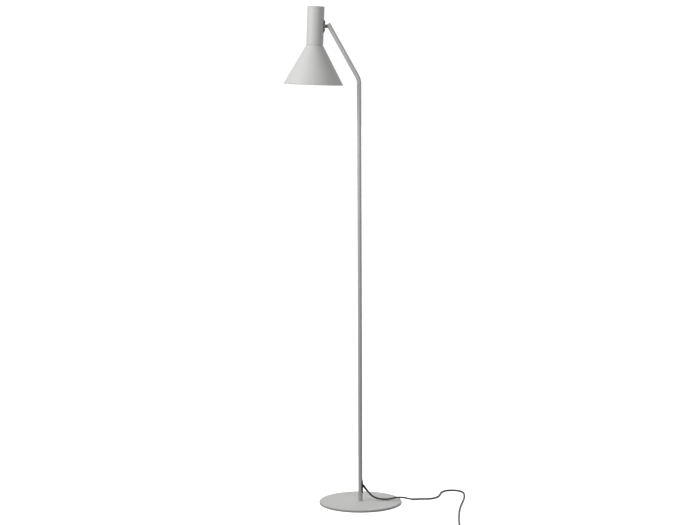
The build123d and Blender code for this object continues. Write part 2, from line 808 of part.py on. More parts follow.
with BuildPart() as switch_base:
    with BuildSketch():
        switch_outline(0.0)
    extrude(amount=switch_split)
    chamfer(switch_base.faces().sort_by(Axis.Z)[0].edges(), length=switch_low_edge)
    with BuildSketch(Plane.XY.offset(switch_wall)):
        switch_outline(switch_wall)
    extrude(amount=switch_height, mode=Mode.SUBTRACT)
    with BuildSketch():
        with Locations(*screw_places):
            Circle(switch_screw_head_radius + 0.2)
    extrude(amount=switch_wall / 2, mode=Mode.SUBTRACT)
    with BuildSketch():
        with Locations(*screw_places):
            Circle(switch_screw_radius + 0.3)
    extrude(amount=switch_wall, mode=Mode.SUBTRACT)
    # the cord's way in and out
    with BuildSketch(Plane.YZ.offset(switch_near_x - switch_length - 1.0)):
        with Locations((switch_y, floor_up)):
            Circle(cord_radius - 0.6)
    extrude(amount=switch_length + 2.0, mode=Mode.SUBTRACT)
save(switch_base.part, "switch_base")

with BuildPart() as switch_cover:
    with BuildSketch(Plane.XY.offset(switch_split)):
        switch_outline(0.0)
    extrude(amount=switch_height - switch_split)
    fillet(switch_cover.faces().sort_by(Axis.Z)[-1].edges(), radius=switch_top_edge)
    with BuildSketch(Plane.XY.offset(switch_split)):
        switch_outline(switch_wall)
    extrude(amount=switch_height - switch_split - switch_wall, mode=Mode.SUBTRACT)
    with BuildSketch(Plane.XY.offset(switch_split)):
        with Locations((switch_mid_x, switch_y)):
            Circle(button_radius + button_gap)
    extrude(amount=switch_height, mode=Mode.SUBTRACT)
    # screw posts
    with BuildSketch(Plane.XY.offset(switch_split)):
        with Locations(*screw_places):
            Circle(switch_post_radius)
            Circle(switch_screw_radius + fit_gap, mode=Mode.SUBTRACT)
    extrude(amount=switch_height - switch_split - 1.0)
save(switch_cover.part, "switch_cover")

with BuildPart() as switch_screws:
    with BuildSketch(Plane.XY.offset(0.1)):
        with Locations(*screw_places):
            Circle(switch_screw_head_radius)
    extrude(amount=switch_screw_head_thick)
    with BuildSketch(Plane.XY.offset(0.5)):
        with Locations(*screw_places):
            Circle(switch_screw_radius)
    extrude(amount=switch_screw_length)
save(switch_screws.part, "switch_screws")

block_low = switch_wall + 4.6
block_top = switch_height - switch_wall - 6.0
with BuildPart() as switch_contacts:
    with BuildSketch(Plane.XY.offset(block_low)):
        with Locations((switch_mid_x, switch_y)):
            RectangleRounded(block_length, block_width, radius=block_corner)
    extrude(amount=block_top - block_low)
save(switch_contacts.part, "switch_contacts")

button_low = block_top + button_travel + button_gap
with BuildPart() as switch_button:
    with BuildSketch(Plane.XY.offset(button_low)):
        with Locations((switch_mid_x, switch_y)):
            Circle(button_radius)
    extrude(amount=switch_height + button_proud - button_low)
    fillet(switch_button.faces().sort_by(Axis.Z)[-1].edges(), radius=button_edge)
save(switch_button.part, "switch_button")

# ---------------------------------------------------------------- coil, tie and plug
coil_columns = [36.8, 31.2, 25.6]
coil_x = 130.0
coil_y = switch_y + coil_columns[0]
coil_outer = coil_columns[0] + cord_radius
coil_inner = coil_columns[-1] - cord_radius
coil_mid = (coil_outer + coil_inner) / 2
coil_low = 0.7
coil_high = coil_low + 2 * cord_dia
tail_start_x = switch_near_x - switch_length
tail_route = [
    (tail_start_x, switch_y, floor_up),
    (tail_start_x - 10.0, switch_y, floor_up),
    (tail_start_x - 22.0, switch_y, coil_low + cord_radius),
]
cable(tail_route, cord_dia, "power_cord_tail")

with BuildPart() as cord_coil:
    with BuildSketch(Plane.XZ.offset(-coil_y)):
        with Locations((coil_x + coil_mid, (coil_low + coil_high) / 2)):
            RectangleRounded(coil_outer - coil_inner, coil_high - coil_low, radius=cord_radius - 0.4)
    revolve(axis=Axis((coil_x, coil_y, 0), (0, 0, 1)))
save(cord_coil.part, "cord_coil")

tie_width = 6.0
tie_room = 0.4
tie_thick = 0.6
tie_wide = coil_outer - coil_inner + 2 * tie_room
tie_high = coil_high - coil_low + 0.1
with BuildPart() as cord_tie:
    with BuildSketch(Plane.XZ.offset(-coil_y - tie_width / 2)):
        with Locations((coil_x - coil_mid, (coil_low + coil_high) / 2)):
            Rectangle(tie_wide + 2 * tie_thick, tie_high + 2 * tie_thick)
            Rectangle(tie_wide, tie_high, mode=Mode.SUBTRACT)
    extrude(amount=tie_width)
save(cord_tie.part, "cord_tie")

plug_rear_x = 98.0
plug_y = switch_y + 1.0
plug_thick = 13.7
plug_wide = 29.0
plug_deep = 36.0
plug_up = plug_thick / 2 + 0.05
# distance from the rear, width, thickness and corner radius of each section
plug_sections = [
    (4.0, 14.0, 10.0, 4.5),
    (22.0, plug_wide, plug_thick, 5.5),
    (plug_deep, plug_wide - 3.5, plug_thick, 5.5),
]
boot_length = 24.0
boot_overlap = 6.0
with BuildPart() as plug_body:
    for depth, wide, thick, corner in plug_sections:
        with BuildSketch(Plane.YZ.offset(plug_rear_x - depth)):
            with Locations((plug_y, plug_up)):
                RectangleRounded(wide, thick, radius=corner)
    loft(ruled=True)
    with BuildSketch(Plane.YZ.offset(plug_rear_x - boot_overlap)):
        with Locations((plug_y, plug_up)):
            Circle(cord_radius + 0.7)
    extrude(amount=boot_length)
save(plug_body.part, "plug_body")

pin_spacing = 19.0
pin_radius = 2.0
pin_length = 19.0
pin_point = 1.2
with BuildPart() as plug_pins:
    with BuildSketch(Plane.YZ.offset(plug_rear_x - plug_deep - pin_length)):
        with Locations((plug_y - pin_spacing / 2, plug_up), (plug_y + pin_spacing / 2, plug_up)):
            Circle(pin_radius)
    extrude(amount=pin_length)
    fillet(plug_pins.faces().sort_by(Axis.X)[:2].edges(), radius=pin_point)
save(plug_pins.part, "plug_pins")
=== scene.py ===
import json
from math import cos, pi, radians, sin, tan

import bmesh
import bpy
from mathutils import Matrix, Vector

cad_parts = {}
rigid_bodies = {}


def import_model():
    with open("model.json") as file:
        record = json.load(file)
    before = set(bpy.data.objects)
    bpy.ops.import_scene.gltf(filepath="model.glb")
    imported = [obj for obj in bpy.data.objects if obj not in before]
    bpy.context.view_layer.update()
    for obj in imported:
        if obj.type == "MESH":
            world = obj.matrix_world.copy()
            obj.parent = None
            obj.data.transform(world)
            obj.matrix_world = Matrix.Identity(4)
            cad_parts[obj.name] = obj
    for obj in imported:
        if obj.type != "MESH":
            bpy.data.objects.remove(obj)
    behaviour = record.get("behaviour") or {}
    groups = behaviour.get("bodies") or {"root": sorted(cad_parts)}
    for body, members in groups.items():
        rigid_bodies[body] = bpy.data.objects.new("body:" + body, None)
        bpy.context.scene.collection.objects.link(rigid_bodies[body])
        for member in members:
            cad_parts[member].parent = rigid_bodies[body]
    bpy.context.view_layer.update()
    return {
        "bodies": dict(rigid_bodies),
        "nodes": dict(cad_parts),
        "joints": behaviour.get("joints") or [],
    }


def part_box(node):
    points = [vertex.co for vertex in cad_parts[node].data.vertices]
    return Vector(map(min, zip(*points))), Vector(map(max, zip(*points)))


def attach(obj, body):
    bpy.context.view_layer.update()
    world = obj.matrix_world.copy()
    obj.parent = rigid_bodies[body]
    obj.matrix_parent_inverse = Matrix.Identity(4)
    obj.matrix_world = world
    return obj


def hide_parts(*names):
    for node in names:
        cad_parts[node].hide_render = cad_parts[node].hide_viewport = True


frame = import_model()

nodes = frame["nodes"]
MM = 0.001


# ---------------------------------------------------------------- places taken from the frame
def middle(node):
    """The centre of a CAD node's box. A straight tube's own centre is there, whichever way it leans."""
    low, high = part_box(node)
    return (low + high) / 2


head_up = (middle("holder_nipple") - middle("holder_shell")).normalized()
head_side = Vector((0, 1, 0))
head_out = head_side.cross(head_up).normalized()
HOUSING_LENGTH = 113.4
CAP_THICK = 1.5
head_top = middle("head_housing") + head_up * (HOUSING_LENGTH + CAP_THICK) / 2 * MM
pivot = Vector([joint for joint in frame["joints"] if joint["name"] == "head_tilt"][0]["pos_m"])
pivot_up = (pivot - head_top).dot(head_up) / MM
foot_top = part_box("foot_plate")[1].z / MM


def placed(x_axis, y_axis, z_axis, origin):
    """The matrix that takes millimetres on these three axes to metres in the row frame."""
    matrix = Matrix((x_axis, y_axis, z_axis)).transposed().to_4x4()
    matrix.translation = origin
    return matrix @ Matrix.Scale(MM, 4)


# the width of the rounding on each carried-over CAD node, in millimetres
SOFT_EDGES = {
    "head_bracket": 0.3,
    "arm_spacer": 0.2,
    "pivot_nut": 0.25,
    "pivot_screw": 0.15,
    "arm_end_plug": 0.1,
}
FLOOR_GLOW = 0.12
# each ramp of the room's light: from, to, value at from, value at to
ROOM_BACK = (0.0, 0.8, 0.12, 0.9)
ROOM_TOP = (0.2, 1.0, 0.0, 0.53)
ROOM_UNDER = (-0.35, -0.95, 0.0, 0.55)
FLOOR_WASH = 2.6
WASH_SPREAD = radians(50.0)
BACKDROP_LEVEL = 1.05
# name, place, aim, width, height, watts
SOFTBOXES = [
    ("key", (-1.53, -0.75, 1.92), (-0.1, 0.0, 1.32), 1.1, 1.1, 35.5),
    ("fill", (0.45, -2.0, 1.75), (-0.1, 0.0, 1.35), 1.2, 1.2, 17.0),
]

WORLD = Matrix.Scale(MM, 4)
HEAD = placed(head_out, head_side, head_up, head_top)


# ---------------------------------------------------------------- materials
SPECULAR_LEVEL = 0.4
PATCH_DETAIL = 5.0
PATCH_ROUGHNESS = 0.6
PATCH_EDGES = (0.35, 0.65)
GLOSS_RANGE = (0.3, 0.7)
GRAIN_DETAIL = 3.0
BUMP_STRENGTH = 0.6


def procedural(name, low, high, rough, metallic=0.0, grain=1400.0, depth=0.02, mottle=9.0):
    """A Principled material whose colour, roughness and fine bump all vary over the surface.

    low and high are the two linear colours that it wanders between, and rough the two roughnesses.
    mottle and grain are the sizes of its patches and its bump, in features a metre, and depth is the
    bump's height in millimetres.
    """
    material = bpy.data.materials.new(name)
    material.use_nodes = True
    tree = material.node_tree
    shader = tree.nodes["Principled BSDF"]
    shader.inputs["Metallic"].default_value = metallic
    shader.inputs["Specular IOR Level"].default_value = SPECULAR_LEVEL
    coords = tree.nodes.new("ShaderNodeTexCoord")

    patches = tree.nodes.new("ShaderNodeTexNoise")
    patches.inputs["Scale"].default_value = mottle
    patches.inputs["Detail"].default_value = PATCH_DETAIL
    patches.inputs["Roughness"].default_value = PATCH_ROUGHNESS
    tree.links.new(coords.outputs["Object"], patches.inputs["Vector"])
    colour = tree.nodes.new("ShaderNodeValToRGB")
    for element, position, shade in zip(colour.color_ramp.elements, PATCH_EDGES, (low, high)):
        element.position = position
        element.color = (*shade, 1)
    tree.links.new(patches.outputs["Fac"], colour.inputs["Fac"])
    tree.links.new(colour.outputs["Color"], shader.inputs["Base Color"])

    gloss = tree.nodes.new("ShaderNodeMapRange")
    gloss.inputs["From Min"].default_value = GLOSS_RANGE[0]
    gloss.inputs["From Max"].default_value = GLOSS_RANGE[1]
    gloss.inputs["To Min"].default_value = rough[0]
    gloss.inputs["To Max"].default_value = rough[1]
    fine = tree.nodes.new("ShaderNodeTexNoise")
    fine.inputs["Scale"].default_value = grain
    fine.inputs["Detail"].default_value = GRAIN_DETAIL
    tree.links.new(coords.outputs["Object"], fine.inputs["Vector"])
    tree.links.new(patches.outputs["Fac"], gloss.inputs["Value"])
    tree.links.new(gloss.outputs["Result"], shader.inputs["Roughness"])
    bump = tree.nodes.new("ShaderNodeBump")
    bump.inputs["Strength"].default_value = BUMP_STRENGTH
    bump.inputs["Distance"].default_value = depth * MM
    tree.links.new(fine.outputs["Fac"], bump.inputs["Height"])
    tree.links.new(bump.outputs["Normal"], shader.inputs["Normal"])
    return material


def worn(material, colour, start=0.53, end=0.6, share=0.5):
    """Lightens a material along its convex edges, where handling wears it."""
    tree = material.node_tree
    shader = tree.nodes["Principled BSDF"]
    geometry = tree.nodes.new("ShaderNodeNewGeometry")
    edge = tree.nodes.new("ShaderNodeMapRange")
    edge.inputs["From Min"].default_value = start
    edge.inputs["From Max"].default_value = end
    edge.inputs["To Max"].default_value = share
    mix = tree.nodes.new("ShaderNodeMix")
    mix.data_type = "RGBA"
    mix.inputs["B"].default_value = (*colour, 1)
    tree.links.new(geometry.outputs["Pointiness"], edge.inputs["Value"])
    tree.links.new(edge.outputs["Result"], mix.inputs["Factor"])
    tree.links.new(shader.inputs["Base Color"].links[0].from_socket, mix.inputs["A"])
    tree.links.new(mix.outputs["Result"], shader.inputs["Base Color"])
    return material


def grey(level, warm=0.0):
    """A grey colour, with a little less blue in it if warm."""
    return (level, level, level - warm)


paint = worn(
    procedural("grey powder coat", grey(0.405, 0.007), grey(0.425, 0.007), (0.5, 0.6), depth=0.012),
    grey(0.5, 0.01),
)
inner_paint = procedural(
    "white inner coat", grey(0.72, 0.01), grey(0.76, 0.01), (0.5, 0.6), depth=0.012
)
plastic = worn(
    procedural(
        "dark moulded plastic", (0.052, 0.046, 0.045), (0.062, 0.055, 0.054), (0.42, 0.55), grain=2600.0
    ),
    (0.12, 0.11, 0.11),
    share=0.6,
)
sheath = procedural("cord sheath", (0.05, 0.049, 0.05), (0.066, 0.065, 0.066), (0.5, 0.62), grain=1800.0)
black_steel = worn(
    procedural(
        "black zinc steel", (0.075, 0.066, 0.065), (0.1, 0.09, 0.088), (0.35, 0.5), metallic=0.8, mottle=90.0
    ),
    (0.2, 0.19, 0.19),
)
steel = worn(
    procedural(
        "zinc plated steel", grey(0.5), grey(0.62, 0.02), (0.28, 0.42), metallic=1.0, mottle=60.0
    ),
    grey(0.8, 0.02),
)
rubber = procedural("rubber pad", grey(0.02), grey(0.032), (0.75, 0.9), grain=900.0, depth=0.05)
brass = procedural(
    "brass contact", (0.62, 0.44, 0.2), (0.74, 0.55, 0.27), (0.22, 0.38), metallic=1.0, mottle=90.0
)
porcelain = procedural(
    "holder white", (0.72, 0.71, 0.68), (0.79, 0.78, 0.75), (0.25, 0.4), grain=500.0, depth=0.01
)
opal = procedural("opal bulb", grey(0.84, 0.02), grey(0.88, 0.01), (0.18, 0.26), grain=300.0, depth=0.004)
nickel = procedural(
    "nickel cap", (0.6, 0.59, 0.56), (0.7, 0.69, 0.66), (0.16, 0.3), metallic=1.0, mottle=80.0
)

slot_materials = {
    "painted_steel": paint,
    "dark_plastic": plastic,
    "cord_sheath": sheath,
    "zinc_steel": steel,
    "black_steel": black_steel,
    "rubber_pad": rubber,
    "brass_contact": brass,
    "holder_white": porcelain,
    "bulb_white": opal,
    "nickel_cap": nickel,
}
node_slots = {
    "foot_plate": "painted_steel",
    "pole": "painted_steel",
    "arm_end_plug": "painted_steel",
    "head_housing": "painted_steel",
    "head_cap": "painted_steel",
    "shade_cone": "painted_steel",
    "foot_pad": "rubber_pad",
    "foot_washer": "zinc_steel",
    "foot_bolt": "zinc_steel",
    "pole_foot_plug": "zinc_steel",
    "stem_grub_screw": "zinc_steel",
    "pivot_screw": "black_steel",
    "pivot_nut": "black_steel",
    "holder_arm": "zinc_steel",
    "bracket_screws": "zinc_steel",
    "nipple_nuts": "zinc_steel",
    "switch_screws": "zinc_steel",
    "arm_spacer": "dark_plastic",
    "cord_grommet": "dark_plastic",
    "strain_relief": "dark_plastic",
    "swivel_stem": "dark_plastic",
    "head_bracket": "dark_plastic",
    "friction_washers": "dark_plastic",
    "cord_tie": "dark_plastic",
    "plug_body": "dark_plastic",
    "switch_base": "dark_plastic",
    "switch_cover": "dark_plastic",
    "switch_button": "dark_plastic",
    "pole_cable": "cord_sheath",
    "head_cable": "cord_sheath",
    "power_cord": "cord_sheath",
    "power_cord_tail": "cord_sheath",
    "cord_coil": "cord_sheath",
    "holder_nipple": "brass_contact",
    "holder_shell": "brass_contact",
    "holder_contact": "brass_contact",
    "lamp_holder": "holder_white",
    "shade_ring": "holder_white",
    "switch_contacts": "holder_white",
    "bulb_glass": "bulb_white",
    "bulb_cap": "nickel_cap",
    "plug_pins": "nickel_cap",
}
for node, slot_name in node_slots.items():
    data = nodes[node].data
    for index in range(len(data.materials)):
        data.materials[index] = slot_materials[slot_name]
    if not data.materials:
        data.materials.append(slot_materials[slot_name])


SHARP_LIMIT = radians(40.0)


def softened(node, width):
    """Rounds a carried-over CAD node's sharp edges a little, as its moulding or plating does."""
    bevel = nodes[node].modifiers.new("soft_edges", "BEVEL")
    bevel.width = width * MM
    bevel.segments = 3
    bevel.limit_method = "ANGLE"
    bevel.angle_limit = SHARP_LIMIT
    bevel.harden_normals = True


for node, width in SOFT_EDGES.items():
    softened(node, width)


# ---------------------------------------------------------------- mesh helpers
def finish_piece(piece, node, material=None, also=()):
    """Gives a new piece its material and its body, and hides the CAD nodes that it stands for."""
    piece.data.materials.append(material or slot_materials[node_slots[node]])
    body = nodes[node].parent
    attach(piece, [name for name, empty in frame["bodies"].items() if empty is body][0])
    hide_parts(node, *also)
    return piece


def smooth(mesh, angle=35.0):
    """Shades a mesh smooth, apart from its sharp edges."""
    for face in mesh.polygons:
        face.use_smooth = True
    mesh.set_sharp_from_angle(angle=radians(angle))


def new_object(name, builder, matrix):
    """An object of that bmesh, taken to the row frame."""
    builder.transform(matrix)
    bmesh.ops.recalc_face_normals(builder, faces=builder.faces)
    mesh = bpy.data.meshes.new(name)
    builder.to_mesh(mesh)
    builder.free()
    smooth(mesh)
    piece = bpy.data.objects.new(name, mesh)
    bpy.context.scene.collection.objects.link(piece)
    return piece


def rounded(corners, closed=True, steps=5):
    """An outline with its corners rounded. Each corner is (x, y) or (x, y, radius)."""
    points = []
    count = len(corners)
    for index, corner in enumerate(corners):
        here = Vector(corner[:2])
        radius = corner[2] if len(corner) > 2 else 0.0
        at_end = not closed and index in (0, count - 1)
        if radius == 0.0 or at_end:
            points.append(here)
            continue
        before = (Vector(corners[index - 1][:2]) - here).normalized()
        after = (Vector(corners[(index + 1) % count][:2]) - here).normalized()
        half = before.angle(after) / 2
        reach = radius / tan(half)
        centre = here + (before + after).normalized() * radius / sin(half)
        first = here + before * reach - centre
        turn = first.angle_signed(here + after * reach - centre)
        for step in range(steps + 1):
            angle = -turn * step / steps
            points.append(centre + Matrix.Rotation(angle, 2) @ first)
    return [(point.x, point.y) for point in points]


def lathe(name, outline, matrix, segments=96, closed=True):
    """A turned piece: the outline of (radius, height) in millimetres, swept about the matrix's Z axis."""
    builder = bmesh.new()
    rings = []
    for radius, height in outline:
        if radius < 1e-6:
            rings.append([builder.verts.new((0, 0, height))])
            continue
        ring = []
        for step in range(segments):
            angle = 2 * pi * step / segments
            ring.append(builder.verts.new((radius * cos(angle), radius * sin(angle), height)))
        rings.append(ring)
    pairs = list(zip(rings, rings[1:]))
    if closed:
        pairs.append((rings[-1], rings[0]))
    for lower, upper in pairs:
        if len(lower) == 1 and len(upper) == 1:
            continue
        for step in range(segments):
            after = (step + 1) % segments
            if len(lower) == 1:
                builder.faces.new((lower[0], upper[after], upper[step]))
            elif len(upper) == 1:
                builder.faces.new((lower[step], lower[after], upper[0]))
            else:
                builder.faces.new((lower[step], lower[after], upper[after], upper[step]))
    return new_object(name, builder, matrix)


def walled(name, outer, inner, stations, angles, is_hole, place, matrix):
    """A tube's wall between two radii, left open in the cells where is_hole(station, angle) is true.

    place(radius, station, angle) gives a point in millimetres.
    """
    builder = bmesh.new()
    columns = len(angles)
    grid = []
    for radius in (inner, outer):
        rows = [[builder.verts.new(place(radius, here, angle)) for angle in angles] for here in stations]
        grid.append(rows)
    filled = set()
    for row in range(len(stations) - 1):
        for column in range(columns):
            last = angles[(column + 1) % columns] + (2 * pi if column == columns - 1 else 0)
            if not is_hole((stations[row] + stations[row + 1]) / 2, (angles[column] + last) / 2):
                filled.add((row, column))
    for row, column in filled:
        after = (column + 1) % columns
        for shell in grid:
            low_row, high_row = shell[row], shell[row + 1]
            builder.faces.new((low_row[column], low_row[after], high_row[after], high_row[column]))
        sides = (
            ((row - 1, column), (row, column), (row, after)),
            ((row + 1, column), (row + 1, column), (row + 1, after)),
            ((row, (column - 1) % columns), (row, column), (row + 1, column)),
            ((row, after), (row, after), (row + 1, after)),
        )
        for beside, (row_a, column_a), (row_b, column_b) in sides:
            if beside not in filled:
                corners = (grid[0][row_a][column_a], grid[0][row_b][column_b])
                builder.faces.new((*corners, grid[1][row_b][column_b], grid[1][row_a][column_a]))
    loose = [vert for vert in builder.verts if not vert.link_faces]
    bmesh.ops.delete(builder, geom=loose, context="VERTS")
    return new_object(name, builder, matrix)


def with_stops(count, *stops):
    """Evenly spaced angles right round, and the given ones among them, in order."""
    angles = [2 * pi * step / count for step in range(count)]
    kept = [angle for angle in angles if all(abs(angle - stop) > pi / count / 2 for stop in stops)]
    return sorted([*kept, *stops])


# ---------------------------------------------------------------- camera
CAMERA_PLACE = Vector((-0.0290, -5.6009, 1.3597))
CAMERA_PITCH = 0.1108
CAMERA_ROLL = -0.0039
SENSOR_WIDTH = 36.0
LENS = 96.57
forward = Vector((0, cos(CAMERA_PITCH), -sin(CAMERA_PITCH)))
right = Vector((1, 0, 0))
upward = right.cross(forward)
turned_right = right * cos(CAMERA_ROLL) + upward * sin(CAMERA_ROLL)
turned_up = upward * cos(CAMERA_ROLL) - right * sin(CAMERA_ROLL)
camera_data = bpy.data.cameras.new("camera")
camera_data.sensor_width = SENSOR_WIDTH
camera_data.lens = LENS
camera = bpy.data.objects.new("camera", camera_data)
camera.matrix_world = Matrix((turned_right, turned_up, -forward)).transposed().to_4x4()
camera.location = CAMERA_PLACE
bpy.context.scene.collection.objects.link(camera)
bpy.context.scene.camera = camera

# ---------------------------------------------------------------- floor and light
FLOOR_HALF = 30.0
floor_corners = [(-1, -1), (1, -1), (1, 1), (-1, 1)]
floor_mesh = bpy.data.meshes.new("floor")
floor_mesh.from_pydata([(x * FLOOR_HALF, y * FLOOR_HALF, 0) for x, y in floor_corners], [], [(0, 1, 2, 3)])
floor = bpy.data.objects.new("floor", floor_mesh)
bpy.context.scene.collection.objects.link(floor)
floor_paint = procedural("studio floor", grey(0.80), grey(0.82), (0.8, 0.9), grain=300.0, depth=0.01)
floor_shader = floor_paint.node_tree.nodes["Principled BSDF"]
floor_shader.inputs["Emission Color"].default_value = (1, 1, 1, 1)
floor_shader.inputs["Emission Strength"].default_value = FLOOR_GLOW
floor_shader.inputs["Specular IOR Level"].default_value = 0.0
floor_mesh.materials.append(floor_paint)
floor.visible_diffuse = False
floor.visible_glossy = False

world = bpy.data.worlds.new("studio")
bpy.context.scene.world = world
world.use_nodes = True
world_tree = world.node_tree
backdrop = world_tree.nodes["Background"]
backdrop.inputs["Color"].default_value = (1, 1, 1, 1)
directions = world_tree.nodes.new("ShaderNodeTexCoord")
parts = world_tree.nodes.new("ShaderNodeSeparateXYZ")
world_tree.links.new(directions.outputs["Generated"], parts.inputs["Vector"])


def world_ramp(part, start, end, low, high):
    """Light that changes smoothly with one part of the direction it comes from."""
    ramp = world_tree.nodes.new("ShaderNodeMapRange")
    ramp.interpolation_type = "SMOOTHSTEP"
    ramp.inputs["From Min"].default_value = start
    ramp.inputs["From Max"].default_value = end
    ramp.inputs["To Min"].default_value = low
    ramp.inputs["To Max"].default_value = high
    world_tree.links.new(parts.outputs[part], ramp.inputs["Value"])
    return ramp.outputs["Result"]


def world_sum(first, second):
    """Adds two world values."""
    total = world_tree.nodes.new("ShaderNodeMath")
    world_tree.links.new(first, total.inputs[0])
    world_tree.links.new(second, total.inputs[1])
    return total.outputs["Value"]


room_light = world_sum(world_ramp("Y", *ROOM_BACK), world_ramp("Z", *ROOM_TOP))
room_light = world_sum(room_light, world_ramp("Z", *ROOM_UNDER))
paths = world_tree.nodes.new("ShaderNodeLightPath")
seen = world_tree.nodes.new("ShaderNodeMapRange")
seen.inputs["To Max"].default_value = BACKDROP_LEVEL
world_tree.links.new(paths.outputs["Is Camera Ray"], seen.inputs["Value"])
world_tree.links.new(room_light, seen.inputs["To Min"])
world_tree.links.new(seen.outputs["Result"], backdrop.inputs["Strength"])


def softbox(name, place, aim, width, height, power):
    """A square-on area light at a place, turned towards a point."""
    data = bpy.data.lights.new(name, "AREA")
    data.shape = "RECTANGLE"
    data.size = width
    data.size_y = height
    data.energy = power
    light = bpy.data.objects.new(name, data)
    light.location = place
    light.rotation_euler = (Vector(place) - Vector(aim)).to_track_quat("Z", "Y").to_euler()
    bpy.context.scene.collection.objects.link(light)


for box in SOFTBOXES:
    softbox(*box)

# an overhead light that falls on the floor alone
wash_data = bpy.data.lights.new("floor_wash", "SUN")
wash_data.energy = FLOOR_WASH
wash_data.angle = WASH_SPREAD
wash = bpy.data.objects.new("floor_wash", wash_data)
bpy.context.scene.collection.objects.link(wash)
lit_by_wash = bpy.data.collections.new("lit_by_wash")
lit_by_wash.objects.link(floor)
wash.light_linking.receiver_collection = lit_by_wash

view = bpy.context.scene.view_settings
view.view_transform = "Standard"
view.look = "None"

# ---------------------------------------------------------------- mains cord
CORD_DIA = 5.6
FLOOR_UP = CORD_DIA / 2 + 0.05
relief_tip = (21.74, 0.0, 37.16)
cord_route = [
    relief_tip,
    (31.1, 0.0, 25.2),
    (44.0, 1.0, 16.4),
    (60.0, 2.0, 11.6),
    (76.0, 2.2, 10.4),
    (92.0, 0.8, 12.4),
    (108.0, -0.8, 17.0),
    (126.0, 0.4, 17.0),
    (140.0, 9.0, 12.4),
    (152.0, 22.0, 6.4),
    (166.0, 34.0, FLOOR_UP),
    (184.0, 38.0, FLOOR_UP),
    (202.0, 36.5, FLOOR_UP),
    (219.0, 41.0, FLOOR_UP),
    (232.0, 53.0, FLOOR_UP),
    (241.0, 71.0, FLOOR_UP),
    (246.0, 91.0, FLOOR_UP),
    (249.0, 111.0, FLOOR_UP),
    (255.0, 131.0, FLOOR_UP),
    (268.0, 147.0, FLOOR_UP),
    (288.0, 152.0, FLOOR_UP),
    (307.0, 145.0, FLOOR_UP),
    (319.0, 128.0, FLOOR_UP),
    (322.0, 106.0, FLOOR_UP),
    (321.0, 70.0, FLOOR_UP),
    (314.0, 14.0, FLOOR_UP),
    (303.0, -46.0, FLOOR_UP),
    (295.0, -108.0, FLOOR_UP),
    (290.0, -170.0, FLOOR_UP),
    (286.5, -232.0, FLOOR_UP),
    (284.5, -294.0, FLOOR_UP),
    (284.0, -350.0, FLOOR_UP),
    (283.0, -380.0, FLOOR_UP),
    (279.0, -399.0, FLOOR_UP),
    (267.0, -413.0, FLOOR_UP),
    (249.0, -419.0, FLOOR_UP),
    (236.0, -419.0, FLOOR_UP),
]
SWITCH_NEAR = 236.0
SWITCH_FAR = 168.0
SWITCH_Y = -419.0
SWITCH_MIDDLE = (SWITCH_NEAR + SWITCH_FAR) / 2
SWITCH_RUN_IN = 14.0
through_switch = [
    (SWITCH_NEAR - SWITCH_RUN_IN, SWITCH_Y, 3.2),
    (SWITCH_MIDDLE, SWITCH_Y, 3.4),
    (SWITCH_FAR + SWITCH_RUN_IN, SWITCH_Y, 3.2),
]
tail = [
    (SWITCH_FAR, SWITCH_Y, FLOOR_UP),
    (SWITCH_FAR - 10.0, SWITCH_Y, FLOOR_UP),
    (SWITCH_FAR - 22.0, SWITCH_Y, 3.5),
]
COIL_X = 130.0
OUTER_TURN = 36.8
MIDDLE_TURN = 31.2
INNER_TURN = 25.6
COIL_Y = SWITCH_Y + OUTER_TURN
LOW_LAYER = 3.55
HIGH_LAYER = 9.1
COIL_STEPS = 16
# each turn's radius at its start and its end, and its height at its start and its end
coil_turns = [
    (OUTER_TURN, MIDDLE_TURN, LOW_LAYER, LOW_LAYER),
    (MIDDLE_TURN, INNER_TURN, LOW_LAYER, LOW_LAYER),
    (INNER_TURN, INNER_TURN, LOW_LAYER, HIGH_LAYER),
    (INNER_TURN, MIDDLE_TURN, HIGH_LAYER, HIGH_LAYER),
    (MIDDLE_TURN, OUTER_TURN - 0.2, HIGH_LAYER, HIGH_LAYER),
]


def coil_points():
    """The coil's turns, clockwise from its -Y side, in at the outer column below and out of it above."""
    points = []
    for start, end, low, high in coil_turns:
        for step in range(COIL_STEPS):
            part = step / COIL_STEPS
            angle = -pi / 2 - 2 * pi * part
            radius = start + (end - start) * part
            height = low + (high - low) * part
            points.append((COIL_X + radius * cos(angle), COIL_Y + radius * sin(angle), height))
    return points


into_plug = [
    (COIL_X, SWITCH_Y + 0.2, HIGH_LAYER),
    (118.0, SWITCH_Y + 0.8, 8.4),
    (104.0, SWITCH_Y + 1.0, 7.0),
    (88.0, SWITCH_Y + 1.0, 6.9),
]
cord_points = cord_route + through_switch + tail + coil_points() + into_plug
cord_data = bpy.data.curves.new("mains_cord", "CURVE")
cord_data.dimensions = "3D"
cord_data.bevel_depth = CORD_DIA / 2 * MM
cord_data.bevel_resolution = 6
cord_data.resolution_u = 12
cord_data.use_fill_caps = True
spline = cord_data.splines.new("NURBS")
spline.points.add(len(cord_points) - 1)
for point, place in zip(spline.points, cord_points):
    point.co = (*(Vector(place) * MM), 1)
spline.order_u = 3
spline.use_endpoint_u = True
mains_cord = bpy.data.objects.new("mains_cord", cord_data)
bpy.context.scene.collection.objects.link(mains_cord)
finish_piece(mains_cord, "power_cord", also=("power_cord_tail", "cord_coil"))

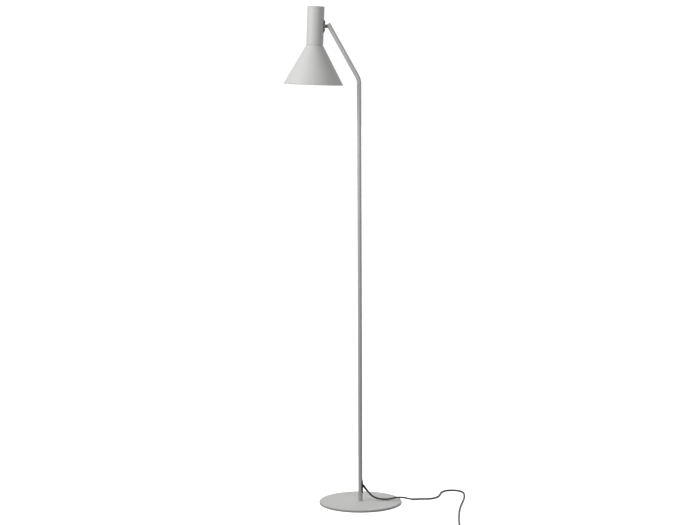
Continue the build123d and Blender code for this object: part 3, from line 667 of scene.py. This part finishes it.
# ---------------------------------------------------------------- foot
FOOT_RADIUS = 125.0
BOLT_HOLE_RADIUS = 4.3
WELL_RADIUS = 11.0
WELL_DEPTH = 3.6
PAD_THICK = 1.5
PAD_RADIUS = 121.0
GROOVE_RADII = (106.0, 118.0)
foot_outline = rounded([
    (BOLT_HOLE_RADIUS, foot_top),
    (FOOT_RADIUS, foot_top, 2.2),
    (FOOT_RADIUS, PAD_THICK, 1.2),
    (WELL_RADIUS, PAD_THICK),
    (WELL_RADIUS, PAD_THICK + WELL_DEPTH),
    (BOLT_HOLE_RADIUS, PAD_THICK + WELL_DEPTH),
], steps=8)
finish_piece(lathe("foot_disc", foot_outline, WORLD, segments=224), "foot_plate")
grooves = []
for groove in GROOVE_RADII:
    grooves += [(groove - 1.0, 0.0), (groove - 0.4, 0.5), (groove + 0.4, 0.5), (groove + 1.0, 0.0)]
pad_outline = rounded([
    (WELL_RADIUS, 0.0),
    *grooves,
    (PAD_RADIUS, 0.0, 0.5),
    (PAD_RADIUS, PAD_THICK),
    (WELL_RADIUS, PAD_THICK),
])
finish_piece(lathe("foot_felt_ring", pad_outline, WORLD, segments=160), "foot_pad")

# ---------------------------------------------------------------- pole
POLE_RADIUS = 6.5
POLE_BORE = 5.3
BEND_HEIGHT = 1283.0
BEND_RADIUS = 44.0
ARM_LEAN = radians(29.0)
ARM_LENGTH = 187.2
bend_reach = BEND_RADIUS * tan(ARM_LEAN / 2)
bend_start = BEND_HEIGHT - bend_reach
bend_length = BEND_RADIUS * ARM_LEAN
arm_start = bend_start + bend_length
pole_end = arm_start + ARM_LENGTH - bend_reach


def pole_frame(station):
    """The pole's centre and its outward direction in the plane of the bend, that far along it."""
    if station <= bend_start:
        return Vector((0, 0, station)), Vector((1, 0, 0))
    lean = min((station - bend_start) / BEND_RADIUS, ARM_LEAN)
    outward = Vector((cos(lean), 0, sin(lean)))
    centre = Vector((-BEND_RADIUS, 0, bend_start)) + outward * BEND_RADIUS
    if station > arm_start:
        centre += Vector((-sin(ARM_LEAN), 0, cos(ARM_LEAN))) * (station - arm_start)
    return centre, outward


def on_pole(radius, station, angle):
    """A point at that radius from the pole's centre line."""
    centre, outward = pole_frame(station)
    return centre + outward * radius * cos(angle) + Vector((0, radius * sin(angle), 0))


# the stem's shank goes in through the wall on the head's side, just below the cut end
SHANK_BELOW = 3.8
SHANK_ABOVE = 0.3
pivot_along = (pivot.z / MM - BEND_HEIGHT) / cos(ARM_LEAN) + POLE_RADIUS * tan(ARM_LEAN)
shank_along = arm_start - bend_reach + pivot_along
shank_low = shank_along - SHANK_BELOW
shank_high = pole_end - SHANK_ABOVE
SHANK_TURN = radians(31.0)
WINDOW_LOW = 47.5
WINDOW_HIGH = 63.5
WINDOW_TURN = radians(36.0)


def pole_hole(station, angle):
    """True in the shank's hole and in the cord's window."""
    in_shank = shank_low < station < shank_high and abs(angle - pi) < SHANK_TURN
    from_front = min(angle, 2 * pi - angle)
    in_window = WINDOW_LOW < station < WINDOW_HIGH and from_front < WINDOW_TURN
    return in_shank or in_window


POLE_COLUMNS = 72
pole_angles = with_stops(
    POLE_COLUMNS, pi - SHANK_TURN, pi + SHANK_TURN, WINDOW_TURN, 2 * pi - WINDOW_TURN
)
BEND_STEPS = 24
pole_stations = [foot_top, foot_top + 0.4, WINDOW_LOW, WINDOW_HIGH, 300.0, 600.0, 900.0]
pole_stations += [bend_start + bend_length * step / BEND_STEPS for step in range(BEND_STEPS + 1)]
pole_stations += [shank_low, shank_high, pole_end]
pole_tube = walled(
    "pole_tube", POLE_RADIUS, POLE_BORE, pole_stations, pole_angles, pole_hole, on_pole, WORLD
)
finish_piece(pole_tube, "pole")

# ---------------------------------------------------------------- shade and cap
NECK_UP = -HOUSING_LENGTH
RIM_UP = -230.4
RIM_RADIUS = 88.5
HOUSING_RADIUS = 25.2
COLLAR_RADIUS = 24.16
COLLAR_UP = -101.4
FLANGE_BORE = 19.8
cone_outline = rounded([
    (FLANGE_BORE, COLLAR_UP),
    (COLLAR_RADIUS, COLLAR_UP, 0.4),
    (COLLAR_RADIUS, NECK_UP - 1.0, 0.2),
    (HOUSING_RADIUS - 0.1, NECK_UP - 1.2, 0.3),
    (HOUSING_RADIUS + 0.5, NECK_UP - 2.2, 0.4),
    (RIM_RADIUS - 1.3, RIM_UP + 3.6, 2.0),
    (RIM_RADIUS + 0.05, RIM_UP + 1.6, 1.0),
    (RIM_RADIUS - 0.5, RIM_UP, 0.7),
    (RIM_RADIUS - 2.6, RIM_UP, 0.7),
    (RIM_RADIUS - 2.9, RIM_UP + 1.6, 0.7),
    (RIM_RADIUS - 1.9, RIM_UP + 2.4, 0.4),
    (HOUSING_RADIUS - 0.9, NECK_UP - 3.0, 1.0),
    (COLLAR_RADIUS - 1.0, NECK_UP - 1.8, 0.6),
    (COLLAR_RADIUS - 1.0, COLLAR_UP - 1.0),
    (FLANGE_BORE, COLLAR_UP - 1.0),
])
shade = finish_piece(lathe("shade_cone_skin", cone_outline, HEAD, segments=192), "shade_cone")
shade.data.materials.append(inner_paint)
for face in shade.data.polygons:
    from_top = face.center - head_top
    outward = (from_top - head_up * from_top.dot(head_up)).normalized()
    lean = face.normal.dot(outward)
    under_flange = face.normal.dot(head_up) < -0.8 and from_top.dot(head_up) > (NECK_UP - 4.0) * MM
    if lean < -0.3 or under_flange:
        face.material_index = 1

SLOT_HALF_WIDTH = 5.6
SLOT_HALF_HEIGHT = 7.4
HOUSING_INNER = 24.2
# a little less than the exact angle, so the slot is about 0.1 mm narrower on each side
slot_turn = sin(SLOT_HALF_WIDTH / HOUSING_RADIUS)


def on_housing(radius, station, angle):
    """A point of the housing's wall, in the head's own millimetres."""
    return radius * cos(angle), radius * sin(angle), station


def housing_hole(station, angle):
    """True in the slot that the stem comes in by."""
    return abs(station - pivot_up) < SLOT_HALF_HEIGHT and min(angle, 2 * pi - angle) < slot_turn


HOUSING_COLUMNS = 144
END_BAND = 0.3
housing_stations = [
    NECK_UP,
    NECK_UP + END_BAND,
    pivot_up - SLOT_HALF_HEIGHT,
    pivot_up + SLOT_HALF_HEIGHT,
    -CAP_THICK - END_BAND,
    -CAP_THICK,
]
housing_tube = walled(
    "head_housing_tube",
    HOUSING_RADIUS,
    HOUSING_INNER,
    housing_stations,
    with_stops(HOUSING_COLUMNS, slot_turn, 2 * pi - slot_turn),
    housing_hole,
    on_housing,
    HEAD,
)
finish_piece(housing_tube, "head_housing")

SKIRT_DEPTH = 8.0
SKIRT_WALL = 1.2
cap_outline = rounded([
    (0.0, 0.0),
    (8.0, 0.0),
    (16.0, 0.0),
    (HOUSING_RADIUS - 1.4, 0.0),
    (HOUSING_RADIUS, 0.0, 1.0),
    (HOUSING_RADIUS, -1.0, 0.3),
    (HOUSING_RADIUS - 0.8, -CAP_THICK),
    (COLLAR_RADIUS, -CAP_THICK),
    (COLLAR_RADIUS, -SKIRT_DEPTH, 0.3),
    (COLLAR_RADIUS - SKIRT_WALL, -SKIRT_DEPTH, 0.3),
    (COLLAR_RADIUS - SKIRT_WALL, -CAP_THICK),
    (0.0, -CAP_THICK),
], closed=False)
finish_piece(lathe("head_cap_disc", cap_outline, HEAD, segments=128, closed=False), "head_cap")

# ---------------------------------------------------------------- lamp holder and bulb
SHELL_RADIUS = 13.3
HOLDER_LOW = NECK_UP + 1.5
SHELL_TOP = HOLDER_LOW + 25.0
HOLDER_TOP = -44.04
HOLDER_RADIUS = 19.5
HOLDER_BACK = 15.0
HOLDER_BORE = 5.02
FLANGE_RADIUS = 22.5
holder_outline = rounded([
    (HOLDER_BORE, HOLDER_TOP),
    (11.0, HOLDER_TOP, 1.5),
    (HOLDER_BACK, HOLDER_TOP - 8.0, 1.5),
    (HOLDER_BACK, HOLDER_TOP - 14.0, 0.3),
    (14.4, HOLDER_TOP - 14.6, 0.2),
    (14.4, HOLDER_TOP - 15.6, 0.2),
    (HOLDER_BACK, HOLDER_TOP - 16.2, 0.3),
    (HOLDER_BACK, SHELL_TOP + 10.0, 1.0),
    (17.5, SHELL_TOP + 6.0, 1.0),
    (17.5, COLLAR_UP + 4.0, 0.6),
    (FLANGE_RADIUS, COLLAR_UP + 3.0, 0.6),
    (FLANGE_RADIUS, COLLAR_UP + 0.02),
    (HOLDER_RADIUS, COLLAR_UP + 0.02),
    (HOLDER_RADIUS, HOLDER_LOW, 0.6),
    (15.2, HOLDER_LOW, 0.6),
    (15.2, SHELL_TOP + 3.0),
    (HOLDER_BORE, SHELL_TOP + 3.0),
], steps=4)
finish_piece(lathe("lamp_holder_body", holder_outline, HEAD), "lamp_holder")


def knurled(name, outer, inner, low, high, ribs, depth, matrix):
    """A ring whose outside is fluted all round, with softened ends."""
    builder = bmesh.new()
    per_rib = 8
    count = ribs * per_rib
    softening = [(0.0, 0.6), (0.5, 0.2), (1.0, 0.0)]
    levels = [(low + rise, inset) for rise, inset in softening]
    levels += [(high - rise, inset) for rise, inset in reversed(softening)]
    loops = []
    for height, inset in levels:
        ring = []
        for step in range(count):
            angle = 2 * pi * step / count
            wave = depth * (0.5 - 0.5 * cos(2 * pi * step / per_rib))
            reach = min(outer - wave, outer - inset)
            ring.append(builder.verts.new((reach * cos(angle), reach * sin(angle), height)))
        loops.append(ring)
    for height in (high, low):
        ring = []
        for step in range(count):
            angle = 2 * pi * step / count
            ring.append(builder.verts.new((inner * cos(angle), inner * sin(angle), height)))
        loops.append(ring)
    for lower, upper in zip(loops, loops[1:] + loops[:1]):
        for step in range(count):
            after = (step + 1) % count
            builder.faces.new((lower[step], lower[after], upper[after], upper[step]))
    return new_object(name, builder, matrix)


RING_RADIUS = 22.4
RING_BORE = HOLDER_RADIUS + 0.03
RING_HEIGHT = 7.96
RING_RIBS = 30
ring_low = COLLAR_UP - 9.0
ring_nut = knurled(
    "shade_ring_nut", RING_RADIUS, RING_BORE, ring_low, ring_low + RING_HEIGHT, RING_RIBS, 0.7, HEAD
)
finish_piece(ring_nut, "shade_ring")


def threaded(low, high, radius, pitch, depth, steps=8):
    """The wavy outline of a rolled thread along a wall, from its low end to its high end."""
    count = int((high - low) / pitch * steps)
    places = [low + (high - low) * step / count for step in range(count + 1)]
    return [(radius - depth * (0.5 - 0.5 * cos(2 * pi * (place - low) / pitch)), place) for place in places]


THREAD_PITCH = 3.6
THREAD_DEPTH = 0.9
THREAD_GAP = 0.3
SHELL_OUTER = 15.1
SHELL_LENGTH = 22.0
shell_low = HOLDER_LOW + 1.0
shell_high = shell_low + SHELL_LENGTH
shell_wall = SHELL_RADIUS + THREAD_GAP + THREAD_DEPTH
shell_inside = threaded(shell_low, shell_high, shell_wall, THREAD_PITCH, THREAD_DEPTH)
shell_outline = [(SHELL_OUTER, shell_high), (SHELL_OUTER, shell_low), *shell_inside]
finish_piece(lathe("holder_shell_thread", shell_outline, HEAD), "holder_shell")

CAP_LOW = HOLDER_LOW - 3.0
CAP_HIGH = SHELL_TOP - 4.6
cap_thread = threaded(CAP_LOW + 2.0, CAP_HIGH - 3.0, SHELL_RADIUS, THREAD_PITCH, THREAD_DEPTH)
bulb_cap_outline = [
    (0.0, CAP_LOW),
    (SHELL_RADIUS - 0.1, CAP_LOW),
    *cap_thread,
    (SHELL_RADIUS - 3.0, CAP_HIGH - 1.0),
    (6.0, CAP_HIGH),
    (4.5, CAP_HIGH + 0.4),
    (4.5, CAP_HIGH + 1.9),
    (3.5, CAP_HIGH + 2.5),
    (0.0, CAP_HIGH + 2.5),
]
finish_piece(lathe("bulb_screw_cap", bulb_cap_outline, HEAD, closed=False), "bulb_cap")

GLOBE_UP = CAP_LOW - 50.0
BULB_RADIUS = 30.0
GLOBE_STEPS = 40
GLOBE_SWEEP = radians(126.0)
globe = []
for step in range(GLOBE_STEPS + 1):
    angle = GLOBE_SWEEP * step / GLOBE_STEPS - pi / 2
    globe.append((BULB_RADIUS * cos(angle), GLOBE_UP + BULB_RADIUS * sin(angle)))
globe[0] = (0.0, GLOBE_UP - BULB_RADIUS)
globe_neck = [
    (19.4, CAP_LOW - 25.0),
    (16.3, CAP_LOW - 17.5),
    (15.0, CAP_LOW - 10.0),
    (14.2, CAP_LOW - 4.0),
]
bulb_outline = globe + globe_neck + [(13.6, CAP_LOW), (0.0, CAP_LOW)]
finish_piece(lathe("bulb_globe", bulb_outline, HEAD, closed=False), "bulb_glass")

# ---------------------------------------------------------------- cord outlet
EXIT_SLOPE = radians(52.0)
exit_dir = Vector((cos(EXIT_SLOPE), 0, -sin(EXIT_SLOPE)))
exit_side = Vector((0, 1, 0))
RELIEF_LENGTH = 22.0
STUB_LENGTH = 4.4
exit_root = Vector(relief_tip) - exit_dir * RELIEF_LENGTH
RELIEF = placed(exit_side.cross(exit_dir), exit_side, exit_dir, exit_root * MM)
RELIEF_WIDE = 4.3
RELIEF_TAPER = 1.1
STUB_RADIUS = 2.75
FLANGE_BACK = -0.6
RELIEF_RIBS = 6
FIRST_GROOVE = 1.6
GROOVE_SPACING = 2.9
GROOVE_DEPTH = 0.75
relief_outline = [
    (0.0, -STUB_LENGTH),
    (STUB_RADIUS, -STUB_LENGTH, 0.3),
    (STUB_RADIUS, FLANGE_BACK),
    (RELIEF_WIDE, FLANGE_BACK, 0.3),
]
for rib in range(RELIEF_RIBS):
    start = FIRST_GROOVE + GROOVE_SPACING * rib
    wide = RELIEF_WIDE - RELIEF_TAPER * start / RELIEF_LENGTH
    relief_outline += [
        (wide, start, 0.3),
        (wide - GROOVE_DEPTH, start + 0.35, 0.3),
        (wide - GROOVE_DEPTH, start + 1.1, 0.3),
        (wide - 0.1, start + 1.45, 0.3),
    ]
relief_outline += [(RELIEF_WIDE - RELIEF_TAPER, RELIEF_LENGTH, 0.35), (0.0, RELIEF_LENGTH)]
relief_profile = rounded(relief_outline, closed=False, steps=3)
relief = lathe("strain_relief_boot", relief_profile, RELIEF, segments=48, closed=False)
finish_piece(relief, "strain_relief")


OVAL_POWER = 3.2
CURVE_BACK = 1.7
DOME_POWER = 6


def saddle(name, middle_up, half_height, half_angle, inner, outer):
    """An oval pad with a domed edge, wrapped on the pole's +X side."""
    builder = bmesh.new()
    around = 64
    rings = []
    for share in (1.0, 0.99, 0.96, 0.9, 0.8, 0.6, 0.35):
        proud = (1 - share**DOME_POWER) ** 0.5
        ring = []
        for step in range(around):
            angle = 2 * pi * step / around
            reach_up = half_height * share * sin(angle)
            narrow = max(0.0, 1 - abs(sin(angle)) ** OVAL_POWER) ** (1 / OVAL_POWER)
            turn = half_angle * share * narrow * (1 if cos(angle) >= 0 else -1)
            radius = inner + (outer - inner) * proud
            ring.append(builder.verts.new((radius * cos(turn), radius * sin(turn), middle_up + reach_up)))
        rings.append(ring)
    for lower, upper in zip(rings, rings[1:]):
        for step in range(around):
            after = (step + 1) % around
            builder.faces.new((lower[step], lower[after], upper[after], upper[step]))
    crown = builder.verts.new((outer, 0, middle_up))
    for step in range(around):
        builder.faces.new((rings[-1][step], rings[-1][(step + 1) % around], crown))
    back = builder.verts.new((inner - CURVE_BACK, 0, middle_up))
    for step in range(around):
        builder.faces.new((rings[0][(step + 1) % around], rings[0][step], back))
    bmesh.ops.remove_doubles(builder, verts=builder.verts, dist=0.01)
    return new_object(name, builder, WORLD)


OUTLET_UP = 51.0
OUTLET_HALF_HEIGHT = 21.0
OUTLET_TURN = radians(68.0)
outlet = saddle(
    "cord_outlet_saddle", OUTLET_UP, OUTLET_HALF_HEIGHT, OUTLET_TURN, POLE_RADIUS + 0.03, POLE_RADIUS + 1.8
)
finish_piece(outlet, "cord_grommet")


# ---------------------------------------------------------------- lofted pieces on the cord
def loft(name, sections, matrix, closed=False, steps=7):
    """A skin over rounded rectangles, capped if it is open.

    Each section is (half width, half depth, corner radius, height).
    """
    builder = bmesh.new()
    loops = []
    for half_x, half_y, corner, height in sections:
        corner = min(corner, half_x, half_y)
        ring = []
        quarters = [(1, 1), (-1, 1), (-1, -1), (1, -1)]
        for quarter, (side_x, side_y) in enumerate(quarters):
            for step in range(steps + 1):
                angle = pi / 2 * (quarter + step / steps)
                x = side_x * (half_x - corner) + corner * cos(angle)
                y = side_y * (half_y - corner) + corner * sin(angle)
                ring.append(builder.verts.new((x, y, height)))
        loops.append(ring)
    count = len(loops[0])
    pairs = list(zip(loops, loops[1:]))
    if closed:
        pairs.append((loops[-1], loops[0]))
    else:
        builder.faces.new(loops[0][::-1])
        builder.faces.new(loops[-1])
    for lower, upper in pairs:
        for step in range(count):
            after = (step + 1) % count
            builder.faces.new((lower[step], lower[after], upper[after], upper[step]))
    bmesh.ops.remove_doubles(builder, verts=builder.verts, dist=0.0005)
    return new_object(name, builder, matrix)


def turned_edge(half_x, half_y, corner, height, radius, rising, steps=5):
    """Sections round a quarter circle at an outer edge, above the height if rising and below it if not."""
    sections = []
    for step in range(steps + 1):
        angle = pi / 2 * step / steps
        inset = radius * (1 - cos(angle))
        lift = radius * sin(angle)
        sections.append((half_x - inset, half_y - inset, max(corner - inset, 0.3), height + lift))
    return sections if rising else [(x, y, c, 2 * height - z) for x, y, c, z in sections[::-1]]


AXIS_X, AXIS_Y, AXIS_Z = Vector((1, 0, 0)), Vector((0, 1, 0)), Vector((0, 0, 1))
SWITCH = placed(AXIS_X, AXIS_Y, AXIS_Z, Vector((SWITCH_MIDDLE, SWITCH_Y, 0)) * MM)
SWITCH_X = 34.0
SWITCH_HALF = 17.0
SWITCH_CORNER = 14.0
SPLIT = 9.0
SPLIT_BEVEL = 0.3
SHELL_WALL = 2.0


def inset_section(inset, height):
    """The switch's outline, drawn in by that much on every side, at a height."""
    return (SWITCH_X - inset, SWITCH_HALF - inset, SWITCH_CORNER - inset, height)


base_sections = [
    *turned_edge(SWITCH_X, SWITCH_HALF, SWITCH_CORNER, 0.8, 0.8, rising=False),
    (SWITCH_X, SWITCH_HALF, SWITCH_CORNER, SPLIT - 0.4),
    inset_section(SPLIT_BEVEL, SPLIT),
    inset_section(SHELL_WALL, SPLIT),
    inset_section(SHELL_WALL, 2.0),
]
finish_piece(loft("switch_lower_shell", base_sections, SWITCH), "switch_base")
WELL = 11.3
cover_sections = [
    inset_section(SHELL_WALL, SPLIT),
    inset_section(SPLIT_BEVEL, SPLIT),
    (SWITCH_X, SWITCH_HALF, SWITCH_CORNER, SPLIT + 0.4),
    *turned_edge(SWITCH_X, SWITCH_HALF, SWITCH_CORNER, 16.0, 4.0, rising=True, steps=8),
    (WELL + 1.6, WELL + 1.6, WELL + 1.6, 20.0),
    (WELL + 1.2, WELL + 1.2, WELL + 1.2, 19.7),
    (WELL + 0.3, WELL + 0.3, WELL + 0.3, 19.7),
    (WELL, WELL, WELL, 19.4),
    (WELL, WELL, WELL, 18.0),
    (SWITCH_X - 6.0, SWITCH_HALF - 4.5, SWITCH_CORNER - 5.0, 18.0),
    inset_section(SHELL_WALL, 15.0),
]
finish_piece(loft("switch_upper_shell", cover_sections, SWITCH, closed=True, steps=10), "switch_cover")
BUTTON_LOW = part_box("switch_button")[0].z / MM
BUTTON_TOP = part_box("switch_button")[1].z / MM
button_outline = rounded([
    (0.0, BUTTON_LOW),
    (11.0, BUTTON_LOW, 0.3),
    (11.0, BUTTON_TOP - 0.2, 1.4),
    (9.4, BUTTON_TOP - 0.1, 0.3),
    (8.8, BUTTON_TOP - 0.7, 0.3),
    (8.0, BUTTON_TOP - 0.7, 0.3),
    (7.6, BUTTON_TOP - 0.3, 0.3),
    (6.0, BUTTON_TOP - 0.6, 1.0),
    (4.5, BUTTON_TOP - 0.8, 1.0),
    (3.0, BUTTON_TOP - 0.9, 1.0),
    (1.5, BUTTON_TOP - 0.97, 0.5),
    (0.0, BUTTON_TOP - 1.0),
], closed=False)
finish_piece(lathe("switch_push_button", button_outline, SWITCH, segments=72, closed=False), "switch_button")

PLUG_REAR = 98.0
PLUG_Y = SWITCH_Y + 1.0
PLUG_THICK = 13.7
plug_up = PLUG_THICK / 2 + 0.05
PLUG = placed(-AXIS_Y, AXIS_Z, -AXIS_X, Vector((PLUG_REAR, PLUG_Y, plug_up)) * MM)
BOOT_BACK = -18.0
BOOT_RIBS = 5
BOOT_SPACING = 4.1
BOOT_RADIUS = 3.5
BOOT_GROWTH = 0.25
plug_sections = []
for rib in range(BOOT_RIBS):
    start = BOOT_BACK + BOOT_SPACING * rib
    wide = BOOT_RADIUS + BOOT_GROWTH * rib
    plug_sections += [
        (wide - 0.1, wide - 0.1, wide, start),
        (wide, wide, wide, start + 0.3),
        (wide, wide, wide, start + 2.3),
        (wide - 0.6, wide - 0.6, wide, start + 2.6),
        (wide - 0.6, wide - 0.6, wide, start + 3.8),
    ]
plug_sections += [
    (5.2, 4.6, 4.4, 3.0),
    (6.6, 5.0, 4.8, 4.2),
    (8.0, 5.5, 5.0, 6.5),
    (10.4, 6.2, 5.4, 12.0),
    (12.6, 6.7, 5.8, 17.0),
    (14.2, 6.85, 6.0, 21.0),
    (14.5, 6.85, 6.0, 23.5),
    (14.3, 6.85, 6.0, 25.0),
    (13.7, 6.5, 5.8, 26.0),
    (13.6, 6.5, 5.8, 27.2),
    (13.7, 6.85, 5.8, 28.2),
    (13.0, 6.85, 5.6, 35.2),
    (12.7, 6.5, 5.4, 35.9),
    (12.2, 6.0, 5.0, 36.0),
]
finish_piece(loft("plug_moulding", plug_sections, PLUG), "plug_body")
PIN_SPACING = 19.0
pin_outline = [
    (0.0, 35.0),
    (1.85, 35.0),
    (1.85, 45.0),
    (2.0, 45.1),
    (2.0, 53.4),
    (1.7, 54.4),
    (1.0, 54.9),
    (0.0, 55.0),
]
pins = []
for name, side in (("plug_pin_left", -1), ("plug_pin_right", 1)):
    shifted = PLUG @ Matrix.Translation((side * PIN_SPACING / 2, 0, 0))
    pins.append(lathe(name, pin_outline, shifted, segments=32, closed=False))
for pin in pins:
    finish_piece(pin, "plug_pins")

TIE_HALF = 3.0
TIE_UP = 6.3
TIE = placed(AXIS_X, AXIS_Z, -AXIS_Y, Vector((COIL_X - MIDDLE_TURN, COIL_Y, TIE_UP)) * MM)
tie_sections = []
for inset, along in ((0.25, -TIE_HALF), (0.0, -TIE_HALF + 0.25), (0.0, TIE_HALF - 0.25), (0.25, TIE_HALF)):
    tie_sections.append((9.4 - inset, 6.2 - inset, 5.4, along))
for along in (TIE_HALF, -TIE_HALF):
    tie_sections.append((8.8, 5.65, 4.9, along))
finish_piece(loft("cord_tie_band", tie_sections, TIE, closed=True), "cord_tie")
